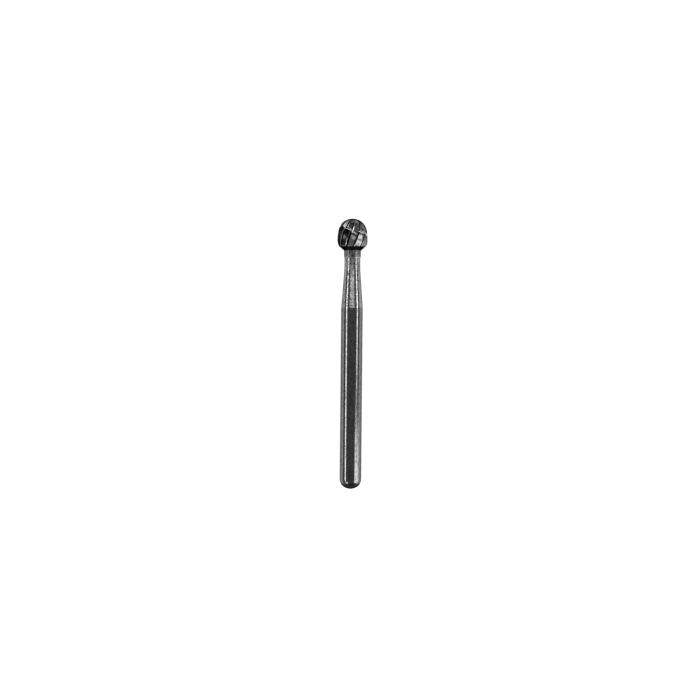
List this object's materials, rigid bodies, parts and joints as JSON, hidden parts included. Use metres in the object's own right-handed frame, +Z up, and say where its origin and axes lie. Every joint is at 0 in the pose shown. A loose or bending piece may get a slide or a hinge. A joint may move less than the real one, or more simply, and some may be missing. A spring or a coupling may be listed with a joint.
{
  "type": "carbide burr",
  "caption": "Round carbide burr: a ball of helical cutting teeth with chip-breaker notches, brazed to a slender steel shank with a tapered neck and a rounded end.",
  "frame": {"origin": "on the floor under the middle of the tool, which lies on its side on the end of its grip and on one cutting edge", "axes": "+Y along the tool towards the cutting head (the axis rises about 1 degree towards the head), +Z up, +X to the right seen from above with the head away from the viewer"},
  "size_m": [0.0022, 0.02, 0.0022],
  "materials": {
    "carbide": "dark ground tungsten carbide, fine grinding lines along the teeth, bright worn edges",
    "braze": "pale silver solder bead, satin",
    "shank_steel": "dark stainless steel, fine turning marks on the neck, ground and lightly scuffed grip"
  },
  "bodies": {
    "root": {"cutting_head": "carbide", "braze_joint": "braze", "shank": "shank_steel"}
  },
  "joints": []
}
